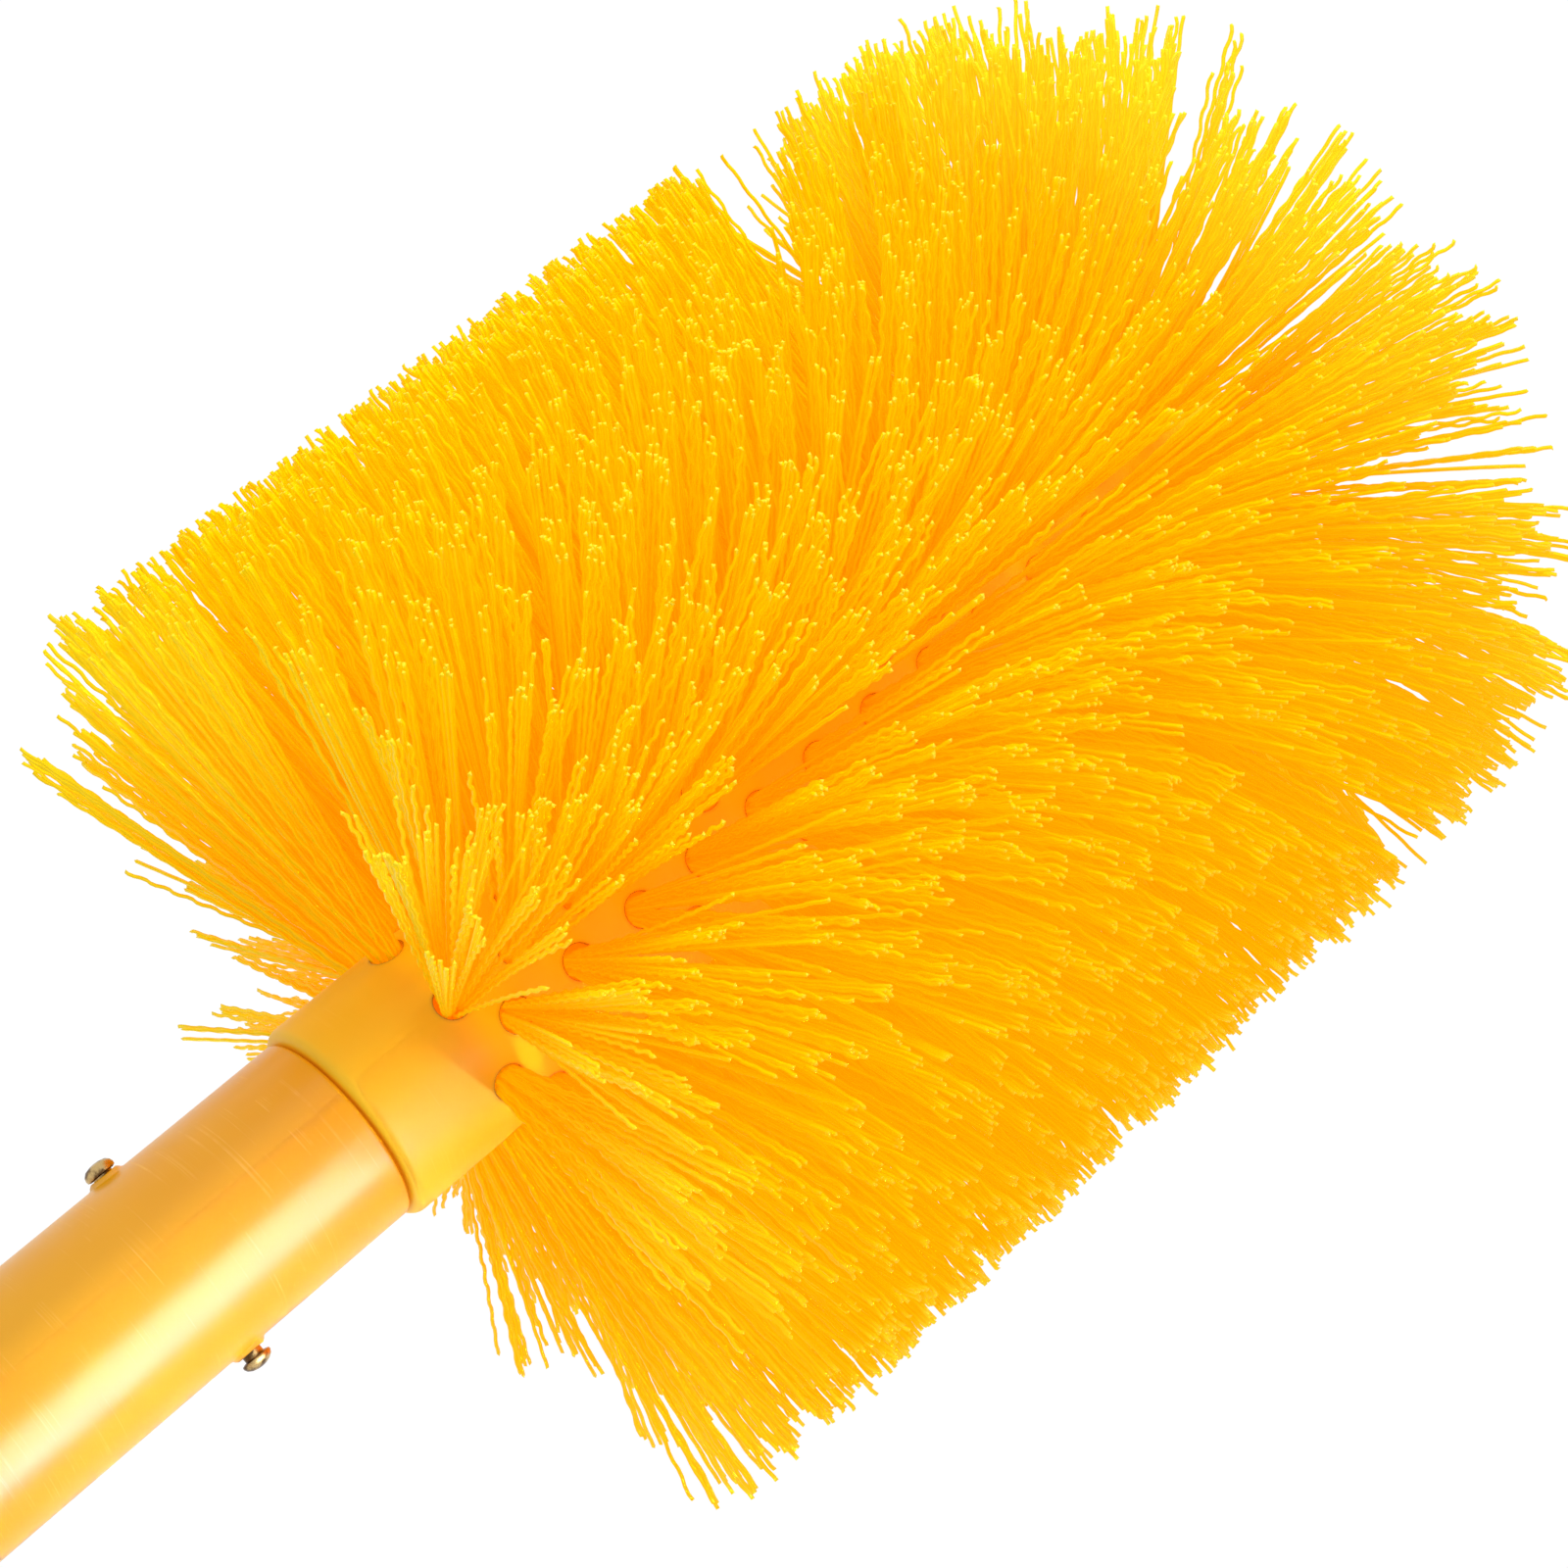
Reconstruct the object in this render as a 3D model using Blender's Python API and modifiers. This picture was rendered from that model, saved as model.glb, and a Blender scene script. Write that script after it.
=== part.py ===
"""Valve brush: a long tube handle with a round head of stapled tufts.

Metres, +Z up. The brush hangs from the hole near the end of its handle: the
origin is the centre of that hole, the handle runs down from it along Z, and
the head is at the bottom. Places on the head are counted along the axis from
the joint, where the handle meets the collar of the block.
"""
import math
import random

import bmesh
import bpy
from mathutils import Matrix, Vector

# Whole brush
OVERALL_LENGTH = 0.762
SEAT_GAP = 0.0003
CUT_OVERRUN = 0.004
MERGE_DISTANCE = 0.00002
ROUND_STEPS = 56
EDGE_STEPS = 4
SHARP_ANGLE = math.radians(35.0)

# Handle tube
TUBE_RADIUS = 0.0127
TUBE_WALL = 0.0024
TUBE_EDGE = 0.0006

# Brush block: tang in the tube, collar, drilled bar and nose
BLOCK_RADIUS = 0.0138
COLLAR_LENGTH = 0.0135
COLLAR_EDGE = 0.0014
TANG_LENGTH = 0.050
TANG_CHAMFER = 0.0015
NOSE_LENGTH = 0.0060
NOSE_EDGE = 0.0020

# Rivet through tube and tang
RIVET_RADIUS = 0.0013
RIVET_HEAD_RADIUS = 0.0018
RIVET_HEAD_HEIGHT = 0.0011
RIVET_STAND_OFF = 0.0011
RIVET_TIP_RADIUS = 0.0005

# End plug and hanging hole
PLUG_FLANGE = 0.0030
PLUG_EDGE = 0.0012
PLUG_CHAMFER = 0.0012
HANG_RADIUS = 0.0045
HANG_SETBACK = 0.020

# Rings of tufts
RING_COUNT = 26
TUFTS_PER_RING = 7
RING_PITCH = 0.0051
BAND_THICKNESS = 0.0028
FIRST_TUFT_ANGLE = math.radians(-12.0)

# Strands of a tuft
TRIM_RADIUS = 0.0660
TIP_LEAN = 0.0165
STRAND_SIDES = 3
STRAND_COUNTS = (3, 2)
STRAND_PHASES = (math.radians(90.0), math.radians(28.0))
STRAND_ROOT_RADIUS = 0.0008
STRAND_TIP_RADIUS = 0.0015
STRAND_EMBED = 0.0012
ROOT_SPREAD = 0.0012
TIP_SPREAD_ALONG = 0.0038
TIP_SPREAD_ANGLE = math.radians(8.2)
TIP_STRAY_ALONG = 0.0008
TIP_STRAY_ANGLE = math.radians(1.0)
TRIM_STRAY = 0.0010
STRAY_SEED = 11

# Places and sizes worked out from those above, first along the head from the joint
BAND_WIDTH = RING_PITCH - SEAT_GAP
FIRST_RING = COLLAR_LENGTH + SEAT_GAP + BAND_WIDTH / 2
LAST_RING = FIRST_RING + (RING_COUNT - 1) * RING_PITCH
NOSE_START = LAST_RING + BAND_WIDTH / 2 + SEAT_GAP
HEAD_LENGTH = NOSE_START + NOSE_LENGTH

# Heights along Z
BUTT_Z = HANG_SETBACK
PLUG_BOTTOM_Z = BUTT_Z - 2 * HANG_SETBACK
JOINT_Z = BUTT_Z - (OVERALL_LENGTH - HEAD_LENGTH)
TUBE_TOP_Z = BUTT_Z - PLUG_FLANGE - SEAT_GAP
TUBE_BOTTOM_Z = JOINT_Z + SEAT_GAP
RIVET_Z = JOINT_Z + TANG_LENGTH / 2

# Radii across Z
BORE_RADIUS = TUBE_RADIUS - TUBE_WALL
TANG_RADIUS = BORE_RADIUS - SEAT_GAP
BAND_HALF_ANGLE = math.pi / (2 * TUFTS_PER_RING)
BAND_INNER_RADIUS = BLOCK_RADIUS - BAND_THICKNESS
CORE_RADIUS = BAND_INNER_RADIUS * math.cos(BAND_HALF_ANGLE) - SEAT_GAP
FACET_DEPTH = BLOCK_RADIUS * math.cos(BAND_HALF_ANGLE)

PLASTIC = (0.90, 0.52, 0.07, 1.0)
HANDLE_PLASTIC = (0.93, 0.56, 0.10, 1.0)
FILAMENT = (0.98, 0.62, 0.01, 1.0)
BRASS = (0.62, 0.44, 0.18, 1.0)


def clear_scene():
    """Remove every object that the file opened with."""
    for obj in list(bpy.data.objects):
        bpy.data.objects.remove(obj, do_unlink=True)


def new_collection(name):
    """Add a collection to the scene."""
    collection = bpy.data.collections.new(name)
    bpy.context.scene.collection.children.link(collection)
    return collection


def new_material(name, colour, roughness, metallic=0.0):
    """Make a plain Principled material."""
    material = bpy.data.materials.new(name)
    material.use_nodes = True
    shader = material.node_tree.nodes["Principled BSDF"]
    shader.inputs["Base Color"].default_value = colour
    shader.inputs["Roughness"].default_value = roughness
    shader.inputs["Metallic"].default_value = metallic
    return material


def new_object(name, mesh, collection, material):
    """Wrap a mesh in an object with one material."""
    obj = bpy.data.objects.new(name, mesh)
    collection.objects.link(obj)
    if material is not None:
        mesh.materials.append(material)
    return obj


def hide_guide(obj):
    """Show a cutter or a joined shape as wire and keep it out of renders."""
    obj.display_type = 'WIRE'
    obj.hide_render = True


def turned(name, profile, closed, steps, collection, material):
    """Turn a profile of (radius, height) points about Z."""
    mesh = bpy.data.meshes.new(name)
    points = [(radius, 0.0, height) for radius, height in profile]
    edges = [(i, i + 1) for i in range(len(points) - 1)]
    if closed:
        edges.append((len(points) - 1, 0))
    mesh.from_pydata(points, edges, [])
    obj = new_object(name, mesh, collection, material)
    screw = obj.modifiers.new("turn", 'SCREW')
    screw.axis = 'Z'
    screw.steps = steps
    screw.render_steps = steps
    screw.use_merge_vertices = True
    screw.merge_threshold = MERGE_DISTANCE
    screw.use_smooth_shade = False
    return obj


def boolean(obj, other, operation):
    """Cut or join one object with another."""
    modifier = obj.modifiers.new(other.name, 'BOOLEAN')
    modifier.operation = operation
    modifier.solver = 'EXACT'
    modifier.object = other


def shade_round(obj):
    """Set the finished shape as the object's mesh, smooth but for its sharp edges."""
    depsgraph = bpy.context.evaluated_depsgraph_get()
    mesh = bpy.data.meshes.new_from_object(obj.evaluated_get(depsgraph))
    obj.modifiers.clear()
    obj.data = mesh
    mesh.shade_smooth()
    mesh.set_sharp_from_angle(angle=SHARP_ANGLE)


def cross_hole(name, radius, height, direction, collection):
    """Make a rod across the handle that cuts a hole right through it."""
    mesh = bpy.data.meshes.new(name)
    bm = bmesh.new()
    length = 2 * (BLOCK_RADIUS + CUT_OVERRUN)
    bmesh.ops.create_cone(bm, cap_ends=True, segments=ROUND_STEPS // 2,
                          radius1=radius, radius2=radius, depth=length)
    bm.to_mesh(mesh)
    bm.free()
    obj = new_object(name, mesh, collection, None)
    obj.location = (0.0, 0.0, height)
    obj.rotation_mode = 'QUATERNION'
    obj.rotation_quaternion = Vector(direction).to_track_quat('Z', 'Y')
    hide_guide(obj)
    return obj


def rounded_edge(radius, height, edge, start_degrees):
    """Points of a quarter round that runs clockwise from the start angle."""
    points = []
    for step in range(EDGE_STEPS + 1):
        angle = math.radians(start_degrees - 90.0 * step / EDGE_STEPS)
        points.append((radius + edge * math.cos(angle), height + edge * math.sin(angle)))
    return points


def handle_tube(collection, cutters, material):
    """The tube, with its rivet holes and the hanging hole through its end."""
    profile = rounded_edge(TUBE_RADIUS - TUBE_EDGE, TUBE_TOP_Z - TUBE_EDGE, TUBE_EDGE, 90.0)
    profile += rounded_edge(TUBE_RADIUS - TUBE_EDGE, TUBE_BOTTOM_Z + TUBE_EDGE, TUBE_EDGE, 0.0)
    profile += [(BORE_RADIUS, TUBE_BOTTOM_Z), (BORE_RADIUS, TUBE_TOP_Z)]
    tube = turned("handle_tube", profile, True, ROUND_STEPS, collection, material)
    boolean(tube, cutters["rivet_hole"], 'DIFFERENCE')
    boolean(tube, cutters["hang_hole"], 'DIFFERENCE')
    shade_round(tube)


def end_plug(collection, cutters, material):
    """The plug in the far end: a flat flange on a body with the cross hole."""
    edge_radius = TUBE_RADIUS - PLUG_EDGE
    body_radius = BORE_RADIUS - SEAT_GAP
    bottom = PLUG_BOTTOM_Z
    profile = [(0.0, BUTT_Z)]
    profile += rounded_edge(edge_radius, BUTT_Z - PLUG_EDGE, PLUG_EDGE, 90.0)
    profile += [(TUBE_RADIUS, BUTT_Z - PLUG_FLANGE), (body_radius, BUTT_Z - PLUG_FLANGE)]
    profile += [(body_radius, bottom + PLUG_CHAMFER), (body_radius - PLUG_CHAMFER, bottom)]
    profile += [(0.0, bottom)]
    plug = turned("end_plug", profile, False, ROUND_STEPS, collection, material)
    boolean(plug, cutters["hang_hole"], 'DIFFERENCE')
    shade_round(plug)


def brush_block(collection, cutters, material):
    """The turned block: tang, collar, core for the bands, and nose."""
    top = JOINT_Z + TANG_LENGTH
    collar_end = JOINT_Z - COLLAR_LENGTH
    nose_end = JOINT_Z - HEAD_LENGTH
    nose_start = JOINT_Z - NOSE_START
    profile = [(0.0, top), (TANG_RADIUS - TANG_CHAMFER, top), (TANG_RADIUS, top - TANG_CHAMFER)]
    profile += [(TANG_RADIUS, JOINT_Z)]
    profile += rounded_edge(BLOCK_RADIUS - COLLAR_EDGE, JOINT_Z - COLLAR_EDGE, COLLAR_EDGE, 90.0)
    profile += [(BLOCK_RADIUS, collar_end), (CORE_RADIUS, collar_end)]
    profile += [(CORE_RADIUS, nose_start), (BLOCK_RADIUS, nose_start)]
    profile += rounded_edge(BLOCK_RADIUS - NOSE_EDGE, nose_end + NOSE_EDGE, NOSE_EDGE, 0.0)
    profile += [(0.0, nose_end)]
    block = turned("brush_block", profile, False, ROUND_STEPS, collection, material)
    boolean(block, cutters["rivet_hole"], 'DIFFERENCE')
    shade_round(block)


def rivet(collection, material):
    """The pin across the handle, headed over at both ends."""
    neck = TUBE_RADIUS + RIVET_STAND_OFF
    half = [(0.0, neck + RIVET_HEAD_HEIGHT), (RIVET_TIP_RADIUS, neck + RIVET_HEAD_HEIGHT)]
    for step in range(1, EDGE_STEPS + 1):
        turn = math.radians(90.0 * step / EDGE_STEPS)
        reach = (RIVET_HEAD_RADIUS - RIVET_TIP_RADIUS) * math.sin(turn)
        half.append((RIVET_TIP_RADIUS + reach, neck + RIVET_HEAD_HEIGHT * math.cos(turn)))
    half.append((RIVET_RADIUS, neck))
    profile = half + [(radius, -height) for radius, height in reversed(half)]
    pin = turned("rivet", profile, False, ROUND_STEPS // 2, collection, material)
    pin.location = (0.0, 0.0, RIVET_Z)
    pin.rotation_euler = (0.0, math.radians(90.0), 0.0)
    shade_round(pin)


def tip_place(root_place):
    """Where the tips of a tuft centre along the axis, for the place of its root."""
    middle = (FIRST_RING + LAST_RING) / 2
    tip_half = LAST_RING - middle + TIP_LEAN - TIP_SPREAD_ALONG - TIP_STRAY_ALONG
    return middle + tip_half * (root_place - middle) / (LAST_RING - middle)


def add_strand(bm, start, end):
    """Add one strand, a slender cone frustum from start to end."""
    run = end - start
    turn = run.to_track_quat('Z', 'Y').to_matrix().to_4x4()
    place = Matrix.Translation((start + end) / 2) @ turn
    bmesh.ops.create_cone(bm, cap_ends=True, segments=STRAND_SIDES, radius1=STRAND_ROOT_RADIUS,
                          radius2=STRAND_TIP_RADIUS, depth=run.length, matrix=place)


def add_tuft(bm, stray, angle, lean, count, phase):
    """Add the strands of one tuft, fanned out from its hole at the given angle."""
    out = Vector((math.cos(angle), math.sin(angle), 0.0))
    side = Vector((-math.sin(angle), math.cos(angle), 0.0))
    for strand in range(count):
        turn = phase + 2 * math.pi * strand / count
        start = out * (FACET_DEPTH - STRAND_EMBED)
        start += side * (ROOT_SPREAD * math.cos(turn))
        start.z = ROOT_SPREAD * math.sin(turn)
        spread = TIP_SPREAD_ANGLE * math.cos(turn) + stray.uniform(-1, 1) * TIP_STRAY_ANGLE
        reach = TRIM_RADIUS - stray.random() * TRIM_STRAY
        end = (out * math.cos(spread) + side * math.sin(spread)) * reach
        end.z = lean + TIP_SPREAD_ALONG * math.sin(turn) + stray.uniform(-1, 1) * TIP_STRAY_ALONG
        add_strand(bm, start, end)


def tuft_ring(index, collection, guides, material):
    """One ring of tufts, fused to its band of the block's skin."""
    stray = random.Random(STRAY_SEED + index)
    kind = index % 2
    place = FIRST_RING + index * RING_PITCH
    lean = place - tip_place(place)
    mesh = bpy.data.meshes.new("strands")
    bm = bmesh.new()
    for tuft in range(TUFTS_PER_RING):
        angle = (4 * tuft + 1) * BAND_HALF_ANGLE
        add_tuft(bm, stray, angle, lean, STRAND_COUNTS[kind], STRAND_PHASES[kind])
    bm.to_mesh(mesh)
    bm.free()
    name = f"tuft_ring_{index + 1:02d}"
    strands = new_object(name + "_strands", mesh, guides, None)
    hide_guide(strands)
    half = BAND_WIDTH / 2
    profile = [(BLOCK_RADIUS, half), (BLOCK_RADIUS, -half)]
    profile += [(BAND_INNER_RADIUS, -half), (BAND_INNER_RADIUS, half)]
    ring = turned(name, profile, True, 2 * TUFTS_PER_RING, collection, material)
    facing = math.radians(-90.0) - FIRST_TUFT_ANGLE - BAND_HALF_ANGLE
    for obj in (ring, strands):
        obj.location = (0.0, 0.0, JOINT_Z - place)
        obj.rotation_euler = (0.0, 0.0, facing - kind * 2 * BAND_HALF_ANGLE)
    boolean(ring, strands, 'UNION')


def build():
    """Build the whole brush."""
    clear_scene()
    brush = new_collection("valve_brush")
    guides = new_collection("cutters")
    plastic = new_material("block_plastic", PLASTIC, 0.45)
    tube_plastic = new_material("tube_plastic", HANDLE_PLASTIC, 0.30)
    filament = new_material("filament", FILAMENT, 0.40)
    brass = new_material("brass", BRASS, 0.30, 1.0)
    cutters = {
        "rivet_hole": cross_hole("rivet_hole", RIVET_RADIUS + SEAT_GAP, RIVET_Z, (1, 0, 0), guides),
        "hang_hole": cross_hole("hang_hole", HANG_RADIUS, 0.0, (0, 1, 0), guides),
    }
    handle_tube(brush, cutters, tube_plastic)
    end_plug(brush, cutters, plastic)
    brush_block(brush, cutters, plastic)
    rivet(brush, brass)
    for index in range(RING_COUNT):
        tuft_ring(index, brush, guides, filament)


build()
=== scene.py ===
"""Looks of the valve brush: crimped filament tufts, a drilled block, a plastic
handle and a brass rivet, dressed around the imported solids.

Metres, +Z up. The origin is the centre of the hanging hole, the handle runs
down from it along Z and the head is at the bottom. Places on the head are
counted along the axis from the joint, where the handle meets the collar.
"""

import math

import bmesh
import bpy
import numpy as np
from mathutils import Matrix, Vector


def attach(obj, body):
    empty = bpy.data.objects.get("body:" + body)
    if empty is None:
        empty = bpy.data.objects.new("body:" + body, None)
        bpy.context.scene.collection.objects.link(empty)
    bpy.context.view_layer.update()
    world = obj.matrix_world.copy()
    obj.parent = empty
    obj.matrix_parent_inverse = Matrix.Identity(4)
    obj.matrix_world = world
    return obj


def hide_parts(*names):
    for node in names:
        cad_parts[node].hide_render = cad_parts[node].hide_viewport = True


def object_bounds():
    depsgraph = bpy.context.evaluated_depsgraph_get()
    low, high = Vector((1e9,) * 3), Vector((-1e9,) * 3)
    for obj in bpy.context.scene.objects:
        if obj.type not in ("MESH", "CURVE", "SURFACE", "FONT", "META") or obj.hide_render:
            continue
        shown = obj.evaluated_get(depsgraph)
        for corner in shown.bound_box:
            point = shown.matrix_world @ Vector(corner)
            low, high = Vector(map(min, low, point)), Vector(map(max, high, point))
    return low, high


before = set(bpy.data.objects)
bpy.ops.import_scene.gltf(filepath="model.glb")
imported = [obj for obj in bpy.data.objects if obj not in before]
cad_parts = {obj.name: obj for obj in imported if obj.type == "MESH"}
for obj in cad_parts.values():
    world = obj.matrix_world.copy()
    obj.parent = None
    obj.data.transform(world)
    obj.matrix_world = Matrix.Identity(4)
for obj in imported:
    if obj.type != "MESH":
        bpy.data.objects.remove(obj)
CAD_BOX = [list(corner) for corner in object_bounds()]
UP = np.array([0.0, 0.0, 1.0])

# Sizes shared with the solids
OVERALL_LENGTH = 0.762
SEAT_GAP = 0.0003
TUBE_RADIUS = 0.0127
TUBE_WALL = 0.0024
TUBE_EDGE = 0.0006
BLOCK_RADIUS = 0.0138
COLLAR_LENGTH = 0.0135
COLLAR_EDGE = 0.0014
TANG_LENGTH = 0.050
TANG_CHAMFER = 0.0015
NOSE_LENGTH = 0.0060
NOSE_EDGE = 0.0020
RIVET_RADIUS = 0.0013
PLUG_FLANGE = 0.0030
HANG_RADIUS = 0.0045
HANG_SETBACK = 0.020
RING_COUNT = 26
TUFTS_PER_RING = 7
RING_PITCH = 0.0051
FIRST_TUFT_ANGLE = math.radians(-12.0)
TRIM_RADIUS = 0.0660

# Places worked out from them
FIRST_RING = COLLAR_LENGTH + RING_PITCH / 2 + SEAT_GAP / 2
LAST_RING = FIRST_RING + (RING_COUNT - 1) * RING_PITCH
HEAD_LENGTH = LAST_RING + RING_PITCH / 2 + SEAT_GAP / 2 + NOSE_LENGTH
BUTT_Z = HANG_SETBACK
JOINT_Z = BUTT_Z - (OVERALL_LENGTH - HEAD_LENGTH)
NOSE_Z = JOINT_Z - HEAD_LENGTH
TUBE_TOP_Z = BUTT_Z - PLUG_FLANGE - SEAT_GAP
TUBE_BOTTOM_Z = JOINT_Z + SEAT_GAP
RIVET_Z = JOINT_Z + TANG_LENGTH / 2
BORE_RADIUS = TUBE_RADIUS - TUBE_WALL
TANG_RADIUS = BORE_RADIUS - SEAT_GAP
HALF_COLUMN = math.pi / (2 * TUFTS_PER_RING)
COLUMNS = 2 * TUFTS_PER_RING
FACING = math.radians(-90.0) - FIRST_TUFT_ANGLE - HALF_COLUMN

# Steps of a patch round a hole and of a rounded edge, and the sharpest smooth edge
ACROSS_STEPS = 8
ALONG_STEPS = 8
EDGE_STEPS = 6
SMOOTH_ANGLE = math.radians(38.0)

# Drilled block. A rim has (radius past the hole's, lift off the skin, darkening) from the outside in,
# and a wall has (radius, depth below the skin, darkening) down the hole.
TUFT_HOLE_RADIUS = 0.00225
HOLE_INNER_RADIUS = TUFT_HOLE_RADIUS - 0.00006
HOLE_RIM = ((0.00050, 0.0, 0.0), (0.00018, 0.00003, 0.25), (0.00004, 0.00007, 1.0),
            (-0.00004, -0.00002, 1.0))
HOLE_WALL = ((HOLE_INNER_RADIUS, 0.0006, 0.5), (HOLE_INNER_RADIUS, 0.0018, 0.1),
             (HOLE_INNER_RADIUS, 0.0050, 0.0), (0.0004, 0.0056, 0.0))
HUB_RADIUS = 0.0015
COLLAR_ROWS = (0.0035, 0.0070)

# Handle tube: its bands with holes, and their steps
QUARTER = math.radians(90.0)
RIVET_BAND_HALF = 0.0085
HANG_BAND_HALF = 0.0090
QUARTER_STEPS = 24
BAND_STEPS = 16
SHAFT_ROWS = 28
RIVET_HOLE_RADIUS = RIVET_RADIUS + 0.00010
# Rims of its holes, as (radius, lift off the skin, darkening) from the outside in
RIVET_LIP = ((0.0042, 0.0, 0.0), (0.0026, 0.0, 0.0), (0.0023, 0.00008, 0.0), (0.0021, 0.00034, 0.1),
             (0.0018, 0.00056, 0.2), (RIVET_HOLE_RADIUS, 0.00052, 0.6))
HANG_RIM = ((HANG_RADIUS + 0.0010, 0.0, 0.0), (HANG_RADIUS + 0.0003, 0.0, 0.0),
            (HANG_RADIUS, -0.0002, 0.0))

# Rivet: its stem and both ends, as (radius, height off the tube)
RIVET_STEM_RADIUS = 0.00126
RIVET_STEM_SINK = 0.0002
RIVET_DOME = ((0.0, 0.00228), (0.00070, 0.00222), (0.00140, 0.00202), (0.00182, 0.00162),
              (0.00196, 0.00118), (0.00190, 0.00082), (0.00160, 0.00070), (0.00128, 0.00068),
              (RIVET_STEM_RADIUS, 0.00030))
RIVET_CAP = ((RIVET_STEM_RADIUS, 0.00040), (RIVET_STEM_RADIUS, 0.00116), (0.00160, 0.00124),
             (0.00190, 0.00136), (0.00194, 0.00162), (0.00172, 0.00204), (0.00122, 0.00238),
             (0.00062, 0.00256), (0.0, 0.00262))
RIVET_STEPS = 40
RIVET_TIP_RADIUS = 0.00001

# Filaments
STRANDS_PER_TUFT = 72
STRAND_RADIUS = 0.00030
STRAND_SIDES = 3
STRAND_POINTS = 48
STRAND_SEED = 23

# How a tuft fans out, and how far single tufts and strands stray
FAN_SIDE = 0.0125
FAN_ALONG = 0.0086
FAN_ALONG_AT_ENDS = 0.0070
LEAN_STRAY = 0.0016
SIDE_STRAY = 0.0014
TRIM_STRAY = 0.0013
OWN_BEND = 0.0003
CLUMP_BEND = 0.0010

# Clumps of strands in a tuft, in shares of its fan
STRAND_CLUMPS = 18
CLUMP_TURN = math.radians(137.508)
CLUMP_STRAY = 0.09
CLUMPED_SCATTER = 0.036
LOOSE_SHARE = 0.22
LOOSE_SCATTER = 0.30
FAN_LIMIT = 1.08
CLUMP_TRIM = 0.6
OWN_TRIM = 0.9

# How the strands come out of their hole
MOUTH_FILL = 1.02
MOUTH_STRAY = 0.10
MOUTH_GAP = 0.00004
MOUTH_DEPTH = 0.0022

# The crimp of a strand; its places are counted in quarter waves
CRIMP_HEIGHT = 0.00011
CRIMP_HEIGHT_RANGE = (0.7, 1.25)
CRIMP_SWELL = 0.25
CRIMP_SWELL_TURN = 9.0
CRIMP_AT_ROOT = 0.2
CRIMP_STRAY = 0.14
FIRST_QUARTER = (0.15, 0.8)
LAST_QUARTER = (0.2, 1.0)

# How far the tips lean toward the nose, in millimetres. The columns are root places along the
# head, in millimetres from the joint, and the rows are degrees round from the front.
LEAN_PLACES = (16, 26, 45, 75, 100, 112, 117, 124, 130, 137, 144)
LEAN_ROWS = (
    (-180, (4, 1, 0, 0, 0, 0, 1, 2, 3, 4, 4)),
    (-150, (3, 1, 0, 0, 0, 0, 1, 2, 3, 4, 4)),
    (-120, (-3, 0, 0, -1, -3, -3, 2, 5, 5, 4, 4)),
    (-85, (-9, -4, 0, -4, -9, -10, 12, 13, 11, 7, 3)),
    (-62, (-8, 1, -1, -5, -6, -3, 15, 17, 13, 9, 4)),
    (-42, (-7, 4, 3, 3, 2, 4, 13, 16, 15, 11, 6)),
    (-22, (-6, 3, 3, 3, 2, 6, 11, 17, 18, 15, 10)),
    (0, (-6, -6, -1, 0, 0, 4, 9, 14, 16, 15, 11)),
    (25, (-5, -4, 1, -1, -1, 3, 5, 8, 12, 12, 10)),
    (50, (-3, 0, 0, 0, 2, 7, 9, 10, 13, 11, 6)),
    (85, (-2, 0, 0, 0, 1, 5, 6, 8, 11, 8, 3)),
    (120, (3, 1, 0, 0, -1, -1, 0, 1, 3, 4, 3)),
    (150, (5, 2, 0, 0, 0, 0, 1, 2, 3, 4, 4)),
    (180, (5, 1, 0, 0, 0, 0, 1, 2, 3, 4, 4)),
)

# Gaps between tufts that let the light through. Each is an outer and an inner end, as (x, z) in
# millimetres where a line of sight from the camera's place meets the plane y = 0, with the half
# width of the gap at its outer end and how far from its middle tips are moved aside.
GAPS = (
    ((62.3, -713.1), (33.0, -701.4), 5.6, 19.0),
    ((66.2, -732.8), (40.0, -716.2), 3.2, 11.0),
    ((64.2, -746.8), (41.6, -726.7), 1.8, 7.0),
    ((-66.3, -727.5), (-35.2, -714.4), 4.6, 16.0),
    ((-65.7, -699.5), (-34.3, -696.0), 1.6, 6.0),
    ((-5.7, -793.3), (-3.7, -751.9), 1.6, 8.0),
    ((-34.1, -777.2), (-21.2, -747.0), 2.0, 9.0),
    ((38.2, -782.2), (26.2, -762.7), 2.2, 8.0),
    ((-39.5, -785.1), (-31.4, -768.9), 2.2, 8.0),
    ((19.5, -791.3), (12.5, -772.4), 2.2, 8.0),
)
GAP_STRAYS = 0.07
GAP_PAST_END = 1.4
GAP_WIDENING = 0.6
# The furthest that any tip reaches along the head
NOSE_LIMIT = 0.1595

# The parting that faces the front
PARTING_ANGLE = math.radians(-92.2)
PARTING_HALF = math.radians(2.7)
PARTING_REACH = math.radians(18.0)
PARTING_COLUMNS = 2.2
PARTING_STRAYS = 0.03
PARTING_FADE = (0.080, 0.100)

# The trim stands further out on one side, and draws in near the nose
TRIM_RISE = 0.0008
SIDE_OFFSET = 0.0009
END_ROUND = 0.0018
END_ROUND_PLACE = 0.118
END_ROUND_LENGTH = 0.032
# It is less even at the ends of the head: (strength, place where that starts, length toward the end)
UNEVEN_ENDS = ((2.4, 0.095, 0.030), (1.6, 0.026, -0.010))
UNEVEN_RISE = 0.0005
LONG_STRANDS = 0.04
LONG_STRAND_RANGE = (0.0004, 0.0014)

# The map of the strands' surface: rows of strips, and the sides and cut end in a strip
MAP_ROWS = 4
MAP_MARGIN = 0.12
MAP_SIDE_START = 0.01
MAP_SIDE_LENGTH = 0.94
MAP_END_ACROSS = (0.2, 0.8, 0.5)
MAP_END_ALONG = (0.965, 0.965, 0.99)
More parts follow.
